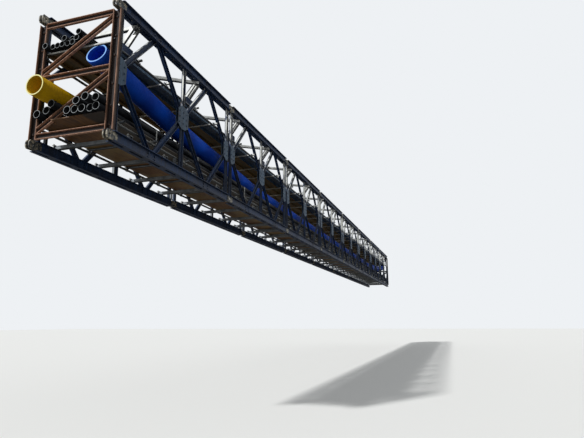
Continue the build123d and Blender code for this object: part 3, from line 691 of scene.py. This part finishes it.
# Thin galvanised rods stand along the right ledger and keep the ducts from rolling off
ROD_R, ROD_Y, ROD_FOOT_Z, ROD_TOP_Z = 0.012, -0.738, 0.37, 0.70
ROD_X = (-16.57, -14.95, -12.34, -10.42, -8.1, -5.9, -3.6, -1.4, 0.8, 3.0, 5.3, 7.5, 9.8, 12.0, 14.2, 16.5)
ROD_LUG, ROD_LUG_DY = 0.05, 0.014
rods = [carry(circle(ROD_R, 8), [(x, ROD_Y, ROD_FOOT_Z), (x, ROD_Y, ROD_TOP_Z)], (1, 0, 0)) for x in ROD_X]
for x in ROD_X:
    ends = [(x, ROD_Y - ROD_LUG_DY, LOWER_LEDGER_Z), (x, -LOWER_LEDGER_Y, LOWER_LEDGER_Z)]
    rods.append(carry(rectangle(ROD_LUG, ROD_LUG), ends, (1, 0, 0)))
add_piece("duct_stop_rods", gather(rods), zinc)


# Decks: brown film-faced plywood laid end to end on the tubes, the upper sheets on sawn joists with
# a wide steel channel along their right side. The solids have their shapes and only get finishes.
# Nearly black, the painted shade along the decks' right side
EDGE_SHADE = "#0e0f12"


def plywood(name, dark, light, stain_colour, edge):
    """Film-faced plywood: a worn satin film over brown grain, pale dried stains 0.9 m and less across,
    and painted shade, nearly black, on the right side from the edge distance outwards. Real grain is
    1 to 3 mm wide, and is drawn 37 mm wide so that it shows."""
    made, tree = new_material(name)
    where = add(tree, "ShaderNodeTexCoord")
    grain_map = add(tree, "ShaderNodeMapping", {"Vector": (where, "Object"), "Scale": (1.0, 9.0, 9.0)})
    grain = add(tree, "ShaderNodeTexNoise",
                {"Vector": (grain_map, 0), "Scale": 3.0, "Detail": 8.0, "Roughness": 0.6})
    tone = add(tree, "ShaderNodeValToRGB", {"Fac": (grain, 0)}, ((0.3, dark), (0.7, light)))
    stain = add(tree, "ShaderNodeTexNoise", {"Vector": (where, "Object"), "Scale": 1.1, "Detail": 5.0})
    stain_mask = add(tree, "ShaderNodeMapRange", {"Value": (stain, 0), 1: 0.48, 2: 0.62, 4: 0.6})
    mixed = add(tree, "ShaderNodeMix", {"Factor": (stain_mask, 0), 6: (tone, 0), 7: linear(stain_colour)},
                data_type="RGBA")
    # Painted shade: the right side, from the edge distance outwards, goes nearly black with a ragged edge
    place = add(tree, "ShaderNodeSeparateXYZ", {0: (where, "Object")})
    side = add(tree, "ShaderNodeMath", {0: (place, 1), 1: -1.0}, operation="MULTIPLY")
    ragged = add(tree, "ShaderNodeMath", {0: (stain, 0), 1: 0.3, 2: (side, 0)}, operation="MULTIPLY_ADD")
    painted_shade = add(tree, "ShaderNodeMapRange", {"Value": (ragged, 0), 1: edge + 0.15, 2: edge + 0.25, 4: 0.85})
    with_edge_shade = add(tree, "ShaderNodeMix", {"Factor": (painted_shade, 0), 6: (mixed, 2), 7: linear(EDGE_SHADE)},
              data_type="RGBA")
    bsdf = add(tree, "ShaderNodeBsdfPrincipled", {"Base Color": (with_edge_shade, 2), "Roughness": 0.6})
    add(tree, "ShaderNodeOutputMaterial", {"Surface": (bsdf, "BSDF")})
    return made


lower_ply = plywood("brown_film_plywood", "#44290f", "#7e5626", "#8c7648", 0.24)
upper_ply = plywood("olive_film_plywood", "#282009", "#5c4818", "#504014", 0.75)
dress(lower_ply, "lower_deck_sheets")
dress(upper_ply, "upper_deck_sheets")

# Sawn softwood gone brown in the weather: dry and matt, with raised grain along the board, drawn
# 18 mm wide because real grain wouldn't show
softwood, tree = new_material("sawn_softwood")
where = add(tree, "ShaderNodeTexCoord")
grain_map = add(tree, "ShaderNodeMapping", {"Vector": (where, "Object"), "Scale": (0.6, 14.0, 14.0)})
grain = add(tree, "ShaderNodeTexNoise",
            {"Vector": (grain_map, 0), "Scale": 4.0, "Detail": 9.0, "Roughness": 0.6})
tone = add(tree, "ShaderNodeValToRGB", {"Fac": (grain, 0)}, ((0.32, "#3d2c14"), (0.68, "#7a6030")))
bump = add(tree, "ShaderNodeBump", {"Height": (grain, 0), "Strength": 0.3, "Distance": 0.001})
bsdf = add(tree, "ShaderNodeBsdfPrincipled",
           {"Base Color": (tone, 0), "Roughness": 0.75, "Normal": (bump, 0)})
add(tree, "ShaderNodeOutputMaterial", {"Surface": (bsdf, "BSDF")})
dress(softwood, "upper_deck_joists", "duct_packers")
dress(gusset_steel, "upper_edge_beam")


# Ducts: extruded black polyethylene cable duct in rows, laid loose along the decks, the left ones
# raised on packers. Each length is sawn off square, and its end shows a paler wall.
BAND_REPEAT = 0.314


def plastic(name, wall_colour, dark_colour, rough, ring_spacing=0.0):
    """Extruded polyethylene: a smooth skin with faint mottling half a metre across, a soft shine and
    no bare metal, and faint rings round the pipe where a spacing is given. BAND_REPEAT is how far
    apart the band texture's own rings stand at a scale of 1."""
    made, tree = new_material(name)
    where = add(tree, "ShaderNodeTexCoord")
    mottle = add(tree, "ShaderNodeTexNoise", {"Vector": (where, "Object"), "Scale": 2.2, "Detail": 5.0})
    tone = add(tree, "ShaderNodeValToRGB", {"Fac": (mottle, 0)}, ((0.35, dark_colour), (0.65, wall_colour)))
    inputs = {"Base Color": (tone, 0), "Roughness": rough, "IOR": 1.51, "Specular IOR Level": 0.1}
    if ring_spacing:
        rings = add(tree, "ShaderNodeTexWave",
                    {"Vector": (where, "Object"), "Scale": BAND_REPEAT / ring_spacing}, wave_type="BANDS")
        bump = add(tree, "ShaderNodeBump", {"Height": (rings, "Fac"), "Strength": 0.5, "Distance": 0.004})
        inputs["Normal"] = (bump, 0)
    bsdf = add(tree, "ShaderNodeBsdfPrincipled", inputs)
    add(tree, "ShaderNodeOutputMaterial", {"Surface": (bsdf, "BSDF")})
    return made


def level(y, z, reach, step=1.2):
    """A level path along the whole bridge that runs a reach past its end pins."""
    half = PITCH * PANELS / 2 + reach
    x = np.linspace(-half, half, int(2 * half / step))
    return np.stack([x, np.full_like(x, y), np.full_like(x, z)], 1)


def add_pipes(name, paths, radius, wall, sides, skin_material, rim_material, nodes):
    """Pipes along paths that run mostly along X. Of each closed wall, the last ring of the outer
    skin and the last of the inner one start the end faces, which take the rim's material."""
    shapes, rims = [], []
    for path in paths:
        n = len(path)
        shapes.append(carry(circle(radius, sides), path, (0, 1, 0), circle(radius - wall, sides)))
        ring = np.repeat(np.arange(2 * n), sides)
        rims.append((ring == n - 1) | (ring == 2 * n - 1))
    add_piece(name, gather(shapes), skin_material, nodes, (rim_material,), np.concatenate(rims), True)


# Black duct stays dark with a soft shine; its saw cut is rough, matt and pale grey
black_duct = plastic("black_polyethylene", "#0f131a", "#07090e", 0.5)
duct_rim = plastic("sawn_duct_end", "#a3a8aa", "#83888b", 0.6)

DUCT_R, DUCT_WALL, DUCT_SIDES, DUCT_STEP = 0.07, 0.008, 24, 0.143
PLYWOOD_T = 0.018
LOWER_DECK_TOP = LOWER_TUBE_Z + TUBE_R + PLYWOOD_T
ROW_Z = LOWER_DECK_TOP + DUCT_R
ROW_START_Y = -0.628
ROW_Y = [ROW_START_Y + DUCT_STEP * i for i in range(5)]
ROW_REACH = (0.143, 0.107, 0.140, 0.135, 0.147)
SECOND_Z = ROW_Z + 2 * DUCT_R
GROOVE = ((ROW_Y[2] + ROW_Y[3]) / 2, ROW_Z + np.sqrt((2 * DUCT_R) ** 2 - (DUCT_STEP / 2) ** 2))
BOTTOM_DUCTS = [(y, ROW_Z, reach) for y, reach in zip(ROW_Y, ROW_REACH)]
SECOND_DUCTS = ((ROW_Y[0], SECOND_Z, 0.170), (ROW_Y[1], SECOND_Z, 0.243), (*GROOVE, 0.195))
LEFT_DUCTS = ((0.628, 0.594, 0.09), (0.501, 0.6765, 0.022), (0.307, 0.728, 0.125))
for name, places in (("bottom_row", BOTTOM_DUCTS), ("second_row", SECOND_DUCTS), ("left", LEFT_DUCTS)):
    add_pipes(f"cable_ducts_{name}", [level(*each) for each in places], DUCT_R, DUCT_WALL, DUCT_SIDES,
              black_duct, duct_rim, [f"lower_ducts_{name}"])

UPPER_R, UPPER_WALL, UPPER_SIDES, UPPER_STEP = 0.054, 0.0065, 18, 0.11
UPPER_ROW_Z = UPPER_DECK_TOP + UPPER_R
UPPER_RISE = np.sqrt((2 * UPPER_R) ** 2 - (UPPER_STEP / 2) ** 2)
UPPER_START_Y = 0.65
UPPER_Y = [UPPER_START_Y - UPPER_STEP * i for i in range(8)]
UPPER_REACH = (0.049, -0.016, -0.005, 0.006, -0.005, 0.008, -0.090, -0.100)
UPPER_SECOND = ((3, 0.026), (4, -0.043), (5, -0.020), (6, -0.090))
UPPER_THIRD = (6, 0.005)
upper_paths = [level(y, UPPER_ROW_Z, reach) for y, reach in zip(UPPER_Y, UPPER_REACH)]
upper_paths += [level(UPPER_Y[i] - UPPER_STEP / 2, UPPER_ROW_Z + UPPER_RISE, reach)
                for i, reach in UPPER_SECOND]
upper_paths.append(level(UPPER_Y[UPPER_THIRD[0]], UPPER_ROW_Z + 2 * UPPER_RISE, UPPER_THIRD[1]))
add_pipes("cable_ducts_upper", upper_paths, UPPER_R, UPPER_WALL, UPPER_SIDES, black_duct, duct_rim,
          ["upper_ducts"])


# Large pipes: blue and yellow polyethylene mains, welded into lengths as long as the bridge. The
# yellow one lies level on the left ducts, and the blue one climbs at each end to the end frame's
# middle rail.
RING_SPACING = 0.06
MAIN_SIDES = 40
BLUE_Y, BLUE_R, BLUE_WALL = -0.385, 0.2, 0.024
BLUE_LEVEL_Z = SECOND_Z + np.sqrt((DUCT_R + BLUE_R) ** 2 - (BLUE_Y - ROW_Y[1]) ** 2)
BLUE_X = (0, 10.7, 15.2, 17.95, 20.0)
BLUE_Z = (BLUE_LEVEL_Z, BLUE_LEVEL_Z, 1.24, 1.615, 1.895)
BLUE_END_X, BLUE_KNEE_X, BLUE_LEAN = 17.95, 17.88, 0.17
BLUE_BEND_HALF = 0.7
BLUE_CLIMB_FOOT_X, BLUE_CLIMB_RINGS = 9.5, 29
BLUE_LEVEL_X, BLUE_LEVEL_RINGS = (8.5, 0.5), 4
YELLOW_Y, YELLOW_R, YELLOW_WALL, YELLOW_REACH = 0.414, 0.18, 0.02, 0.4

# The coloured skins are satin, with faint rings from the extruder, drawn at 60 mm because closer
# ones don't show. The saw cuts are pale and matt.
blue_skin = plastic("blue_polyethylene", "#0b50cc", "#083aa4", 0.6, RING_SPACING)
blue_rim = plastic("sawn_blue_end", "#8fbdf6", "#7cb0f0", 0.5)
yellow_skin = plastic("yellow_polyethylene", "#cda300", "#ad8600", 0.45, RING_SPACING)
yellow_rim = plastic("sawn_yellow_end", "#f7f3b8", "#f0eaa0", 0.5)


def blue_height(x):
    """The blue pipe's height: level, then two straight climbs, rounded off by a moving mean, and a
    short steeper end, so that the mouth leans back."""
    shift = np.linspace(-BLUE_BEND_HALF, BLUE_BEND_HALF, 15)[:, None]
    climb = np.interp(np.abs(x + shift), BLUE_X, BLUE_Z)
    return climb.mean(0) + BLUE_LEAN * np.maximum(np.abs(x) - BLUE_KNEE_X, 0)


# Close rings where the pipe climbs, far ones where it lies level
x = np.concatenate([np.linspace(BLUE_KNEE_X, BLUE_CLIMB_FOOT_X, BLUE_CLIMB_RINGS),
                    np.linspace(*BLUE_LEVEL_X, BLUE_LEVEL_RINGS)])
x = np.concatenate([[-BLUE_END_X], -x, x[::-1], [BLUE_END_X]])
blue_path = np.stack([x, np.full_like(x, BLUE_Y), blue_height(x)], 1)
add_pipes("blue_main", [blue_path], BLUE_R, BLUE_WALL, MAIN_SIDES, blue_skin, blue_rim,
          ["blue_pipe_near_end", "blue_pipe_near_fall", "blue_pipe_middle", "blue_pipe_far_fall",
           "blue_pipe_far_end"])
under_y, under_z = LEFT_DUCTS[2][:2]
yellow_z = under_z + np.sqrt((DUCT_R + YELLOW_R) ** 2 - (YELLOW_Y - under_y) ** 2)
add_pipes("yellow_main", [level(YELLOW_Y, yellow_z, YELLOW_REACH)], YELLOW_R, YELLOW_WALL, MAIN_SIDES,
          yellow_skin, yellow_rim, ["yellow_pipe"])
